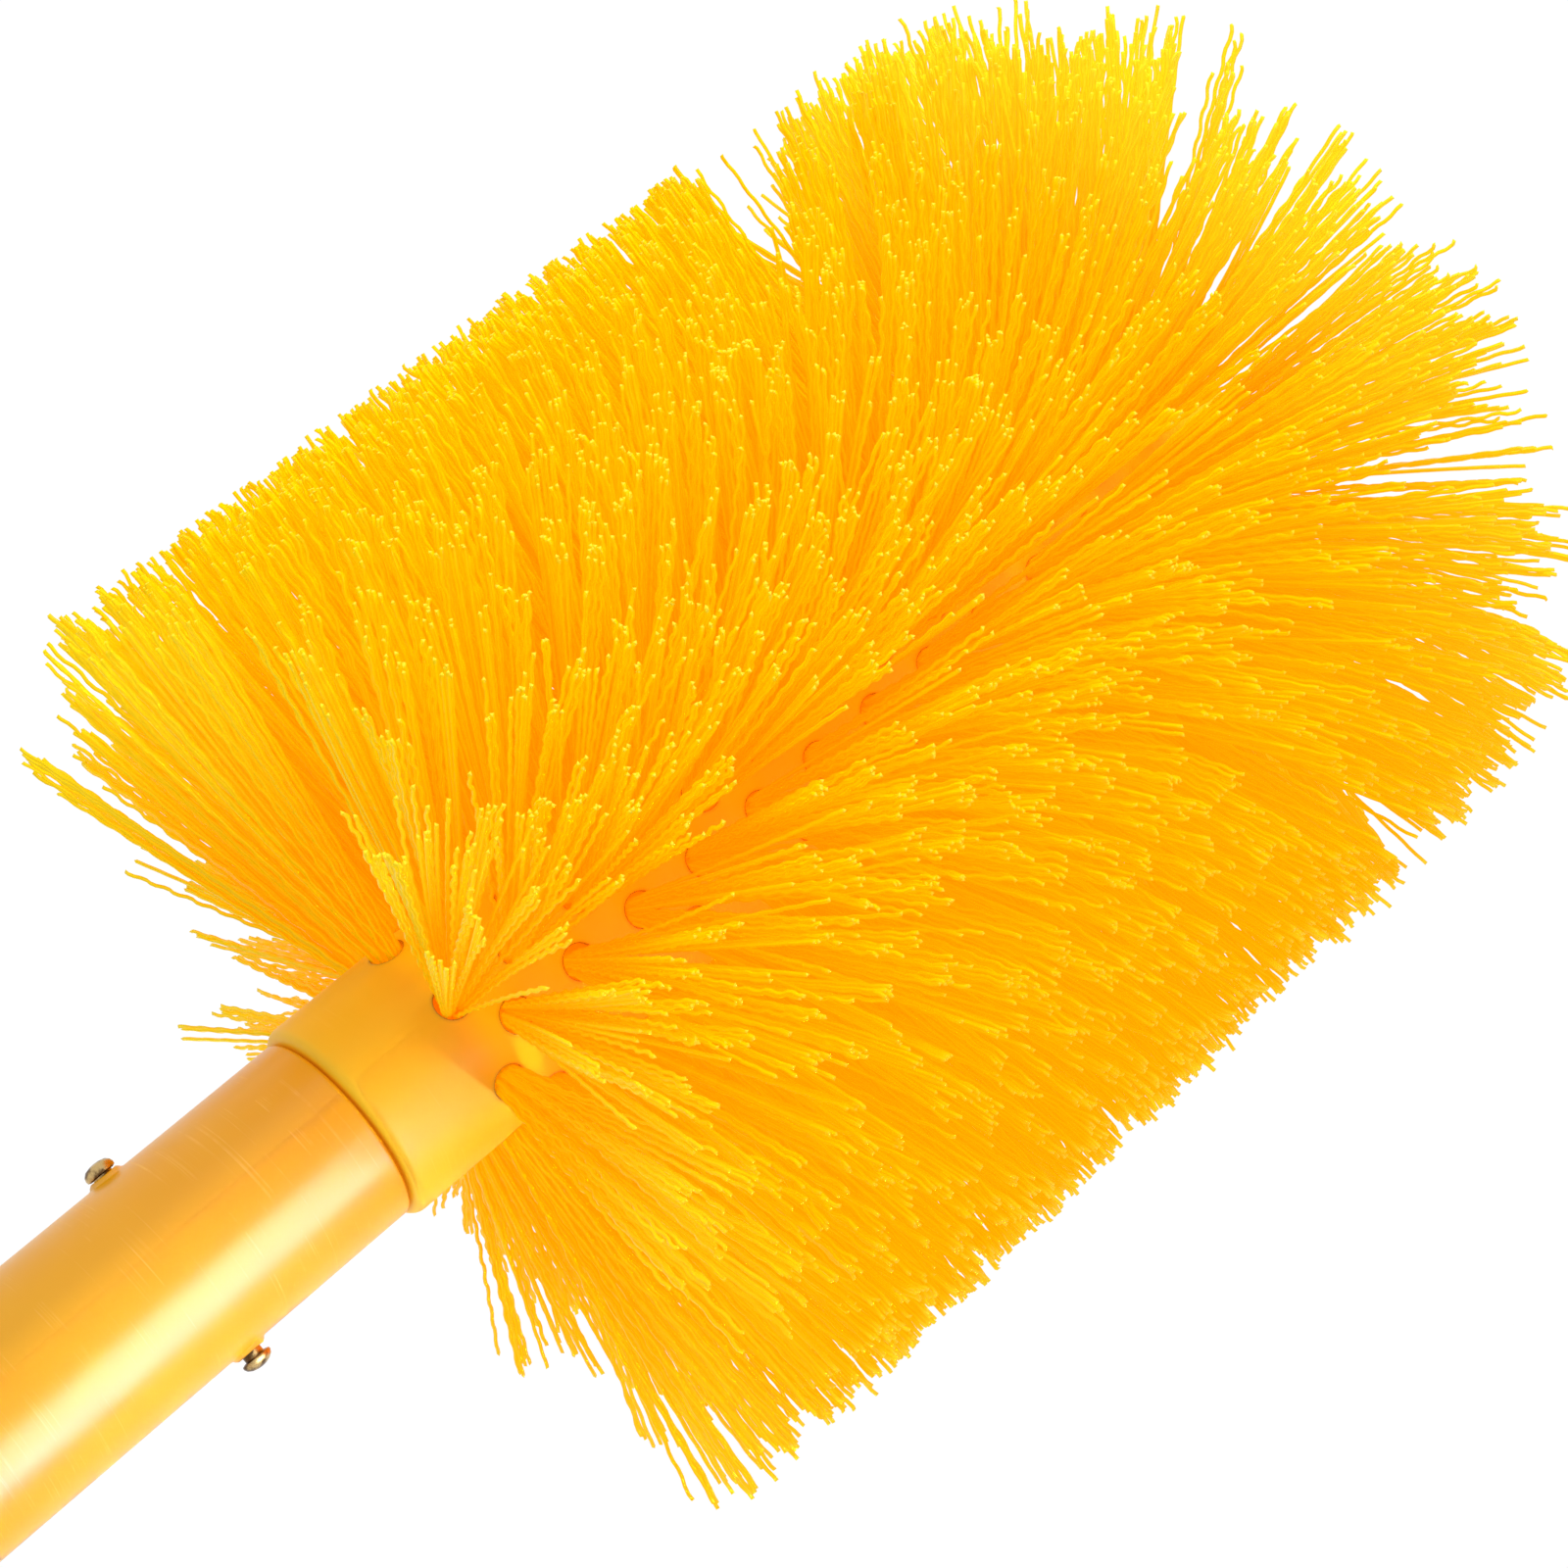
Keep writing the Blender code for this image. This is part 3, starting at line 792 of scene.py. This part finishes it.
def strand_lines(rng):
    """How the strands of a ring fan out, clump, bend and crimp, as arrays over its strands.

    x and y say where in its tuft a strand stands, across and along the brush, from -1 to 1.
    """
    tufts, per_tuft, clumps = TUFTS_PER_RING, STRANDS_PER_TUFT, STRAND_CLUMPS
    total = tufts * per_tuft
    shape = (tufts, clumps)
    clump = rng.integers(0, clumps, (tufts, per_tuft))
    order = np.arange(clumps)[None, :]
    spread = np.sqrt((order + 0.5) / clumps)
    turn = order * CLUMP_TURN + rng.uniform(0, 2 * math.pi, (tufts, 1))
    clump_x = spread * np.cos(turn) + rng.normal(0, CLUMP_STRAY, shape)
    clump_y = spread * np.sin(turn) + rng.normal(0, CLUMP_STRAY, shape)
    loose = rng.random((tufts, per_tuft)) < LOOSE_SHARE
    scatter = np.where(loose, LOOSE_SCATTER, CLUMPED_SCATTER)
    pick = (np.arange(tufts)[:, None], clump)
    x = clump_x[pick] + rng.normal(0, 1, (tufts, per_tuft)) * scatter
    y = clump_y[pick] + rng.normal(0, 1, (tufts, per_tuft)) * scatter
    limit = np.minimum(1.0, FAN_LIMIT / np.maximum(np.hypot(x, y), 0.01))
    own_bend = rng.normal(0, OWN_BEND, (2, total))
    clump_bend = rng.normal(0, CLUMP_BEND, (2, tufts, clumps))[:, pick[0], pick[1]]
    return {
        "x": (x * limit).ravel(),
        "y": (y * limit).ravel(),
        "tuft": np.repeat(np.arange(tufts), per_tuft),
        "lean": np.repeat(rng.normal(0, LEAN_STRAY, tufts), per_tuft),
        "turn": np.repeat(rng.normal(0, SIDE_STRAY, tufts), per_tuft),
        "trim": np.abs(rng.normal(0, CLUMP_TRIM, shape))[pick].ravel() + OWN_TRIM * rng.random(total),
        "bend": clump_bend.reshape(2, total) + own_bend,
        "phase": rng.uniform(0, 4, shape)[pick].ravel() + rng.normal(0, CRIMP_STRAY, total),
        "last": rng.uniform(*LAST_QUARTER, shape)[pick].ravel(),
        "plane": rng.uniform(0, math.pi, shape)[pick].ravel() + rng.normal(0, CRIMP_STRAY, total),
    }


def from_front(angle):
    """Degrees round from the front of an angle about Z, from -180 to 180."""
    return np.degrees((0.5 * math.pi - angle) % (2 * math.pi) - math.pi)


def tip_lean(place, angle):
    """How far tips lean toward the nose, for a root place along the head and angles about Z."""
    rows = [np.interp(place * 1000, LEAN_PLACES, leans) / 1000 for _, leans in LEAN_ROWS]
    return np.interp(from_front(angle), [turned for turned, _ in LEAN_ROWS], rows)


def trimmed_radius(rng, along, angle, trim_share):
    """How far from the axis strands end, for tip places along the head and angles about Z."""
    past = np.clip((along - END_ROUND_PLACE) / END_ROUND_LENGTH, 0.0, 1.3)
    side = -np.sin(np.radians(from_front(angle)))
    uneven = sum(strength * np.clip((along - place) / length, 0.0, 1.0)
                 for strength, place, length in UNEVEN_ENDS)
    stray = TRIM_STRAY * (1 + uneven)
    trim = TRIM_RADIUS + TRIM_RISE + UNEVEN_RISE * uneven - stray * trim_share
    trim = trim - END_ROUND * past ** 2 + SIDE_OFFSET * side * (1 - np.minimum(past, 1.0))
    long_strand = rng.random(len(trim)) < LONG_STRANDS
    return trim + np.where(long_strand, rng.uniform(*LONG_STRAND_RANGE, len(trim)), 0.0)


def open_parting(rng, x, angle, place):
    """Sweep the strands beside the front parting away from it, but for a few strays."""
    per_step = FAN_SIDE / TRIM_RADIUS
    fade = np.interp(place, PARTING_FADE, (1.0, 0.0))
    off = (angle - PARTING_ANGLE + math.pi) % (2 * math.pi) - math.pi
    near = np.abs(off) < PARTING_COLUMNS * HALF_COLUMN
    sign = np.sign(off)
    tip = (off + x * per_step) * sign
    nearest = np.abs(off) - per_step
    squeeze = (PARTING_REACH - PARTING_HALF) / (PARTING_REACH - nearest)
    swept = PARTING_REACH - (PARTING_REACH - tip) * squeeze
    move = np.where(near & (tip < PARTING_REACH), swept - tip, 0.0)
    move *= fade * (rng.random(len(x)) >= PARTING_STRAYS)
    return x + sign * move / per_step


def open_gaps(rng, tips):
    """How far tips move along X and Z so that all but a few of them keep out of the gaps."""
    eye = np.array(CAMERA_PLACE)
    seen = eye + (tips - eye) * (eye[1] / (eye[1] - tips[:, 1]))[:, None]
    moves = np.zeros_like(tips)
    for (outer_x, outer_z), (inner_x, inner_z), half, reach in GAPS:
        run = np.array([outer_x - inner_x, 0.0, outer_z - inner_z]) / 1000
        length = np.linalg.norm(run)
        across = np.array([-run[2], 0.0, run[0]]) / length
        from_inner = seen - np.array([inner_x, 0.0, inner_z]) / 1000
        share = from_inner @ run / length ** 2
        off = from_inner @ across
        gap = half / 1000 * np.clip(share, 0.0, GAP_PAST_END) ** GAP_WIDENING
        moved = gap * np.clip(1 - np.abs(off) * 1000 / reach, 0.0, 1.0)
        moved *= rng.random(len(tips)) >= GAP_STRAYS
        moves += across * (np.sign(off) * moved)[:, None]
    return moves


def tip_places(rng, index, lines, angle, out, side):
    """How far the tips of a ring stand from their tufts' middles, round the brush and up."""
    place = root_place(index)
    middle = (FIRST_RING + LAST_RING) / 2
    end_share = abs(place - middle) / (LAST_RING - middle)
    fan_along = FAN_ALONG + (FAN_ALONG_AT_ENDS - FAN_ALONG) * end_share ** 2
    spread = open_parting(rng, lines["x"], angle, place) * FAN_SIDE + lines["turn"]
    rise = lines["y"] * fan_along - lines["lean"] - tip_lean(place, angle + spread / TRIM_RADIUS)
    tips = out * TRIM_RADIUS + side * spread[:, None] + UP * (ring_height(index) + rise)[:, None]
    moves = open_gaps(rng, tips)
    spread += np.sum(moves * side, axis=1)
    rise = np.maximum(rise + moves[:, 2], place - NOSE_LIMIT)
    return spread, rise


def strand_starts(rng, index, lines, out, side, run):
    """Where the strands of a ring start, a little way down their holes."""
    mouth = TUFT_HOLE_RADIUS - STRAND_RADIUS - MOUTH_GAP
    mouth_x, mouth_y = (mouth * (lines[axis] * MOUTH_FILL + rng.normal(0, MOUTH_STRAY, len(run)))
                        for axis in ("x", "y"))
    over = np.maximum(1.0, np.hypot(mouth_x, mouth_y) / mouth)
    start = (out * BLOCK_RADIUS + side * (mouth_x / over)[:, None]
             + UP * (mouth_y / over)[:, None])
    start[:, 2] += ring_height(index)
    return start - run * MOUTH_DEPTH


def strand_lengths(start, run, trim):
    """How long strands are that run from their starts to a distance from the axis."""
    along = start[:, 0] * run[:, 0] + start[:, 1] * run[:, 1]
    flat = run[:, 0] ** 2 + run[:, 1] ** 2
    rest = start[:, 0] ** 2 + start[:, 1] ** 2
    return (-along + np.sqrt(along ** 2 - flat * (rest - trim ** 2))) / flat


def crimps(rng, lines, angle):
    """The shoulders of each strand's crimps, as shares of its length, and the wave's height."""
    steps = np.arange(STRAND_POINTS)
    first, more = FIRST_QUARTER
    first_gap = first + more * np.mod(lines["phase"], 1.0)
    quarters = first_gap[:, None] + steps[None, :] - 1.0
    quarters[:, 0] = 0.0
    quarters[:, -1] = quarters[:, -2] + lines["last"]
    shares = quarters / quarters[:, -1:]
    quarter_of_wave = (steps[None, :] + np.floor(lines["phase"]).astype(int)[:, None]) % 4
    wave = np.where(quarter_of_wave < 2, 1.0, -1.0)
    height = CRIMP_HEIGHT * rng.uniform(*CRIMP_HEIGHT_RANGE, len(angle))
    swell = 1.0 + CRIMP_SWELL * np.sin(shares * CRIMP_SWELL_TURN + angle[:, None])
    wave = wave * height[:, None] * swell
    wave[:, 0] *= CRIMP_AT_ROOT
    return shares, wave


def strand_points(rng, lines, start, run, length, shares, wave):
    """Points round every strand, by strand, place along it and corner."""
    across = np.cross(run, UP)
    across /= np.linalg.norm(across, axis=1)[:, None]
    over = np.cross(run, across)
    plane = lines["plane"]
    sway = shares ** 2
    off_across = wave * np.cos(plane)[:, None] + sway * lines["bend"][0][:, None]
    off_over = wave * np.sin(plane)[:, None] + sway * lines["bend"][1][:, None]
    centre = (start[:, None, :] + run[:, None, :] * (shares * length[:, None])[..., None]
              + across[:, None, :] * off_across[..., None]
              + over[:, None, :] * off_over[..., None])
    twist = rng.uniform(0, 2 * math.pi, len(run))
    corner = twist[:, None] + np.arange(STRAND_SIDES)[None, :] * 2 * math.pi / STRAND_SIDES
    rim = STRAND_RADIUS * (np.cos(corner)[..., None] * across[:, None, :]
                           + np.sin(corner)[..., None] * over[:, None, :])
    return centre[:, :, None, :] + rim[:, None, :, :]


def strand_mesh(name, points, materials):
    """The sides of strands in the first material and their cut ends in the second."""
    index = np.arange(points[..., 0].size).reshape(points.shape[:3])
    after = np.roll(index, -1, axis=2)
    quads = np.stack([index[:, :-1], after[:, :-1], after[:, 1:], index[:, 1:]], -1).reshape(-1, 4)
    ends = index[:, -1, :]
    mesh = mesh_of_faces(name, points.reshape(-1, 3), {4: quads, 3: ends})
    slots = np.zeros(len(quads) + len(ends), np.int32)
    slots[len(quads):] = 1
    mesh.polygons.foreach_set("material_index", slots)
    for material in materials:
        mesh.materials.append(material)
    return mesh


def strand_map(mesh, shares):
    """A map of the surface in which every strand has a strip of its own."""
    total = len(shares)
    per_row = math.ceil(total / MAP_ROWS)
    strip = 1.0 / per_row
    tall = 1.0 / MAP_ROWS
    number = np.arange(total)
    left = (number % per_row) * strip
    low = (number // per_row) * tall
    across = MAP_MARGIN + (1 - 2 * MAP_MARGIN) * np.arange(STRAND_SIDES + 1) / STRAND_SIDES
    u = left[:, None] + strip * across[None, :]
    v = low[:, None] + tall * (MAP_SIDE_START + MAP_SIDE_LENGTH * shares)
    wide = np.broadcast_to(u[:, None, :], (total, STRAND_POINTS, STRAND_SIDES + 1))
    high = np.broadcast_to(v[:, :, None], (total, STRAND_POINTS, STRAND_SIDES + 1))
    spots = np.stack([wide, high], -1)
    sides = np.stack([spots[:, :-1, :-1], spots[:, :-1, 1:], spots[:, 1:, 1:], spots[:, 1:, :-1]], 3)
    end_u = left[:, None] + strip * np.array(MAP_END_ACROSS)[None, :]
    end_v = low[:, None] + tall * np.array(MAP_END_ALONG)[None, :]
    ends = np.stack([end_u, end_v], -1)
    flat = np.concatenate([sides.reshape(-1, 2), ends.reshape(-1, 2)]).astype(np.float32)
    mesh.uv_layers.new(name="OFBake").data.foreach_set("uv", flat.ravel())


def bristle_ring(index, materials):
    """One ring of seven fanned tufts, every filament a crimped strand of its own."""
    rng = np.random.default_rng(STRAND_SEED + index)
    lines = strand_lines(rng)
    angle = tuft_angle(lines["tuft"], index % 2)
    out = np.stack([np.cos(angle), np.sin(angle), np.zeros_like(angle)], -1)
    side = np.stack([-np.sin(angle), np.cos(angle), np.zeros_like(angle)], -1)
    spread, rise = tip_places(rng, index, lines, angle, out, side)
    reach = TRIM_RADIUS - BLOCK_RADIUS
    run = out + side * (spread / reach)[:, None] + UP * (rise / reach)[:, None]
    run /= np.linalg.norm(run, axis=1)[:, None]
    start = strand_starts(rng, index, lines, out, side, run)
    trim = trimmed_radius(rng, root_place(index) - rise, angle + spread / TRIM_RADIUS, lines["trim"])
    length = strand_lengths(start, run, trim)
    shares, wave = crimps(rng, lines, angle)
    points = strand_points(rng, lines, start, run, length, shares, wave)
    mesh = strand_mesh(f"bristles_{index + 1:02d}", points, materials)
    tone = rng.uniform(-1, 1, len(angle))
    add_point_values(mesh, "strand_tone", np.repeat(tone, STRAND_POINTS * STRAND_SIDES))
    strand_map(mesh, shares)
    link_piece(mesh, "filament", f"tuft_ring_{index + 1:02d}")


# Handle tube and rivet

def tube_rounds(skin, rivet_band, hang_band):
    """Add the turned stretches of the tube, outside and inside, between the bands with holes."""
    angles = -QUARTER / 2 + np.arange(4 * QUARTER_STEPS) * QUARTER / QUARTER_STEPS
    bottom_edge = rounded_edge(TUBE_RADIUS - TUBE_EDGE, TUBE_BOTTOM_Z + TUBE_EDGE, TUBE_EDGE, 0.0)
    top_edge = rounded_edge(TUBE_RADIUS - TUBE_EDGE, TUBE_TOP_Z - TUBE_EDGE, TUBE_EDGE, 90.0)
    top = [(BORE_RADIUS, TUBE_TOP_Z)] + top_edge + [(TUBE_RADIUS, hang_band[0])]
    skin.add_turned(top, angles, flip=True)
    shaft = np.linspace(hang_band[1], rivet_band[0], SHAFT_ROWS)
    skin.add_turned([(TUBE_RADIUS, height) for height in shaft], angles, flip=True)
    low_rows = np.linspace(rivet_band[1], bottom_edge[0][1], 5)[:-1]
    low = [(TUBE_RADIUS, height) for height in low_rows] + bottom_edge
    skin.add_turned(low + [(BORE_RADIUS, TUBE_BOTTOM_Z)], angles, flip=True)
    for heights in (np.linspace(TUBE_BOTTOM_Z, rivet_band[1], 4), shaft[::-1],
                    np.linspace(hang_band[0], TUBE_TOP_Z, 3)):
        skin.add_turned([(BORE_RADIUS, height) for height in heights], angles)


def tube_hole(skin, centre_angle, centre_height, half_height, rim):
    """Add a quarter of a band with a hole through the tube's wall."""
    half = (QUARTER / 2, half_height)
    steps = (QUARTER_STEPS, BAND_STEPS)
    hole_radius = rim[-1][0]
    wall = [(hole_radius, TUBE_RADIUS - TUBE_WALL * 0.5, 0.3), (hole_radius, BORE_RADIUS, 0.0)]
    holed_patch(skin, TUBE_RADIUS, centre_angle, centre_height, half, steps, rim,
                (0.0, 0.3, 0.6, 0.85), wall=wall)
    holed_patch(skin, BORE_RADIUS, centre_angle, centre_height, half, steps,
                [(hole_radius, 0.0, 0.0)], (0.0, 0.4, 0.8), flip=True)


def tube_handle(material):
    """The handle tube, with raised lips round the rivet holes and the hanging hole through it."""
    skin = Skin()
    rivet_band = (RIVET_Z + RIVET_BAND_HALF, RIVET_Z - RIVET_BAND_HALF)
    hang_band = (HANG_BAND_HALF, -HANG_BAND_HALF)
    tube_rounds(skin, rivet_band, hang_band)
    for turn in range(4):
        centre = turn * QUARTER
        has_rivet = turn % 2 == 0
        for band, height, half_height, rim, has_hole in (
                (rivet_band, RIVET_Z, RIVET_BAND_HALF, RIVET_LIP, has_rivet),
                (hang_band, 0.0, HANG_BAND_HALF, HANG_RIM, not has_rivet)):
            if has_hole:
                tube_hole(skin, centre, height, half_height, rim)
                continue
            heights = np.linspace(band[0], band[1], BAND_STEPS + 1)
            for radius, flip in ((TUBE_RADIUS, True), (BORE_RADIUS, False)):
                plain_patch(skin, radius, centre, QUARTER / 2, QUARTER_STEPS, heights, flip)
    link_piece(skin.finish("tube_handle", material), "tube_plastic", "handle_tube")


def rivet_pin(material):
    """The brass rivet: a domed head at one end and a thinner cap at the other."""
    profile = [(radius, TUBE_RADIUS + height) for radius, height in RIVET_DOME]
    profile += [(RIVET_STEM_RADIUS, TUBE_RADIUS - RIVET_STEM_SINK),
                (RIVET_STEM_RADIUS, -TUBE_RADIUS + RIVET_STEM_SINK)]
    profile += [(radius, -(TUBE_RADIUS + height)) for radius, height in RIVET_CAP]
    angles = np.arange(RIVET_STEPS) * 2 * math.pi / RIVET_STEPS
    rows = np.stack([around(max(radius, RIVET_TIP_RADIUS), height, angles)
                     for radius, height in profile])
    skin = Skin()
    skin.add_grid(rows[..., [2, 0, 1]] + UP * RIVET_Z, True, flip=True)
    link_piece(skin.finish("rivet_pin", material, weld=0.000002), "brass", "rivet")


# Stage, light and camera

def background_switch(tree):
    """A factor that is 1 for what the camera, gloss and glass see."""
    path = add_node(tree, "ShaderNodeLightPath")
    seen = math_node(tree, 'MAXIMUM', path.outputs["Is Camera Ray"], path.outputs["Is Glossy Ray"])
    return math_node(tree, 'MAXIMUM', seen, path.outputs["Is Transmission Ray"])


def mix_shaders(tree, factor, first, second, output_name):
    """Mix two shaders by a factor socket and feed the tree's output."""
    mix = add_node(tree, "ShaderNodeMixShader")
    for target, source in zip(mix.inputs, (factor, first.outputs[0], second.outputs[0])):
        tree.links.new(source, target)
    tree.links.new(mix.outputs[0], tree.nodes[output_name].inputs[0])


def white_world():
    """An even pale light all round, white where it shows."""
    world = bpy.data.worlds.new("studio")
    world.use_nodes = True
    tree = world.node_tree
    light = tree.nodes["Background"]
    set_inputs(light, Color=WHITE, Strength=WORLD_LIGHT)
    shown = add_node(tree, "ShaderNodeBackground")
    set_inputs(shown, Color=WHITE, Strength=1.0)
    mix_shaders(tree, background_switch(tree), light, shown, "World Output")
    bpy.context.scene.world = world


def studio_floor():
    """A pale floor under the hanging brush, which fades to white where it shows."""
    mesh = bpy.data.meshes.new("studio_floor")
    size = FLOOR_HALF
    corners = [(-size, -size, 0.0), (size, -size, 0.0), (size, size, 0.0), (-size, size, 0.0)]
    mesh.from_pydata(corners, [], [(0, 1, 2, 3)])
    floor = bpy.data.objects.new("studio_floor", mesh)
    bpy.context.scene.collection.objects.link(floor)
    floor.location = (0.0, 0.0, CAD_BOX[0][2] - FLOOR_DROP)
    material, tree, shader = new_material("studio_floor", 0.9)
    set_inputs(shader, Base_Color=FLOOR_COLOUR, Specular_IOR_Level=0.0)
    glow = add_node(tree, "ShaderNodeEmission")
    set_inputs(glow, Color=WHITE, Strength=FLOOR_GLOW)
    seen = math_node(tree, 'MULTIPLY', background_switch(tree), FLOOR_FADE)
    mix_shaders(tree, seen, shader, glow, "Material Output")
    mesh.materials.append(material)


def soft_lamp(name, place, aim, size, power, spread=180.0, gloss=True, matte=True):
    """A soft lamp that faces a point, within a spread in degrees.

    gloss and matte say whether it shows in reflections and whether it lights matte surfaces.
    """
    lamp = bpy.data.lights.new(name, 'AREA')
    lamp.shape = 'RECTANGLE'
    lamp.size, lamp.size_y = size
    lamp.energy = power
    lamp.spread = math.radians(spread)
    holder = bpy.data.objects.new(name, lamp)
    bpy.context.scene.collection.objects.link(holder)
    holder.location = place
    toward = Vector(aim) - Vector(place)
    holder.rotation_euler = toward.to_track_quat('-Z', 'Y').to_euler()
    holder.visible_camera = False
    holder.visible_glossy = gloss
    holder.visible_diffuse = matte


def studio_lamps():
    """A wide lamp at the nose, a narrow one on the handle by the joint, and one seen as gloss."""
    soft_lamp("nose_lamp", place=(0.35, -0.45, -0.96), aim=(0.0, 0.0, -0.70), size=(0.5, 0.5),
              power=2.6, gloss=False)
    soft_lamp("side_beam", place=(-0.60, -0.32, -0.56), aim=(0.0, 0.0, -0.557), size=(0.08, 0.08),
              power=0.027, spread=10.0, gloss=False)
    soft_lamp("gloss_card", place=(-0.48, -0.46, -0.70), aim=(0.0, 0.0, -0.62), size=(0.52, 0.5),
              power=8.4, matte=False)


def photo_camera():
    """The camera at the photograph's place."""
    data = bpy.data.cameras.new("photo_camera")
    data.lens = CAMERA_LENS
    data.sensor_width = CAMERA_SENSOR
    data.clip_start = 0.01
    camera = bpy.data.objects.new("photo_camera", data)
    bpy.context.scene.collection.objects.link(camera)
    camera.location = CAMERA_PLACE
    camera.rotation_euler = [math.radians(turn) for turn in CAMERA_TURN]
    bpy.context.scene.camera = camera


def dress_brush():
    """Build every piece and its finish."""
    groups = {"mottle": mottle_group(), "turning": turning_marks_group(),
              "bristle_light": bristle_light_group()}
    block = block_plastic(groups)
    filaments = (
        filament_plastic("filament", FILAMENT_ROOT, FILAMENT_TIP, 0.40, groups),
        filament_plastic("filament_cut_end", CUT_END_ROOT, CUT_END_TIP, 0.5, groups),
    )
    tube_handle(tube_plastic(groups))
    drilled_block(block)
    rivet_pin(brass_metal(groups))
    for index in range(RING_COUNT):
        bristle_ring(index, filaments)
    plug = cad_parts["end_plug"]
    plug.data.materials.clear()
    plug.data.materials.append(block)


photo_camera()
white_world()
studio_floor()
studio_lamps()
dress_brush()
bpy.context.scene.view_settings.view_transform = 'Standard'
bpy.context.scene.cycles.max_bounces = 16
bpy.context.scene.cycles.diffuse_bounces = 12
